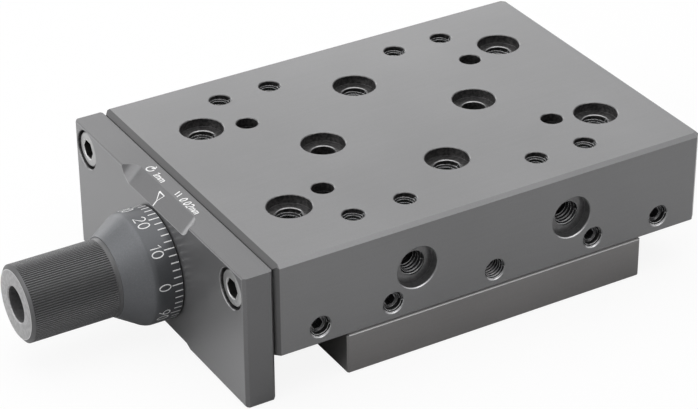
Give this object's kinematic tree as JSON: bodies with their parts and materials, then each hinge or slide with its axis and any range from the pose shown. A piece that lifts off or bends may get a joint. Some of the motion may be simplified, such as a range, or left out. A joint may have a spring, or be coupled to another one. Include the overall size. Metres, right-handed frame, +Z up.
{
  "type": "dovetail slide",
  "caption": "Manual dovetail slide: a block with a hole pattern moves along a short dovetail base by a screw spindle with a knurled knob and graduated drum",
  "frame": {"origin": "centre of the base's flat underside", "axes": "+X along the slide, away from the knob; +Y to the back, away from the face with the gib screws; +Z up through the carriage's top face"},
  "size_m": [0.1511, 0.08, 0.033],
  "materials": {
    "dark_anodised": "dark grey, satin",
    "knob_anodised": "dark grey, satin turned",
    "screw_steel": "bright",
    "dark_screw_steel": "blackened",
    "spindle_steel": "ground",
    "bronze": "machined"
  },
  "bodies": {
    "base": {"base": "dark_anodised", "spindle_nut": "bronze", "nut_screw_1": "screw_steel", "nut_screw_2": "screw_steel"},
    "carriage": {"carriage": "dark_anodised", "gib_strip": "bronze", "gib_screw_1": "dark_screw_steel", "gib_screw_2": "dark_screw_steel", "gib_screw_3": "dark_screw_steel", "gib_screw_4": "dark_screw_steel", "end_plate": "dark_anodised", "plate_screw_front": "screw_steel", "plate_screw_back": "screw_steel", "bearing_bush": "bronze", "thrust_washer": "bronze"},
    "spindle": {"spindle": "spindle_steel", "knob": "knob_anodised", "scale_drum": "knob_anodised", "drive_pin": "spindle_steel", "knob_screw": "dark_screw_steel", "knob_washer": "dark_screw_steel"}
  },
  "joints": [
    {"name": "carriage_slide", "type": "slide", "parent": "base", "child": "carriage", "axis": [1, 0, 0], "range_m": [-0.0137, 0.0163]},
    {"name": "spindle_spin", "type": "hinge", "parent": "carriage", "child": "spindle", "pos_m": [-0.06, 0, 0.01565], "axis": [1, 0, 0], "range_deg": [-4932.1, 5868.1]}
  ],
  "couplings": [
    {"joint": "spindle_spin", "follows": "carriage_slide", "rad_per_m": 6283.2}
  ]
}
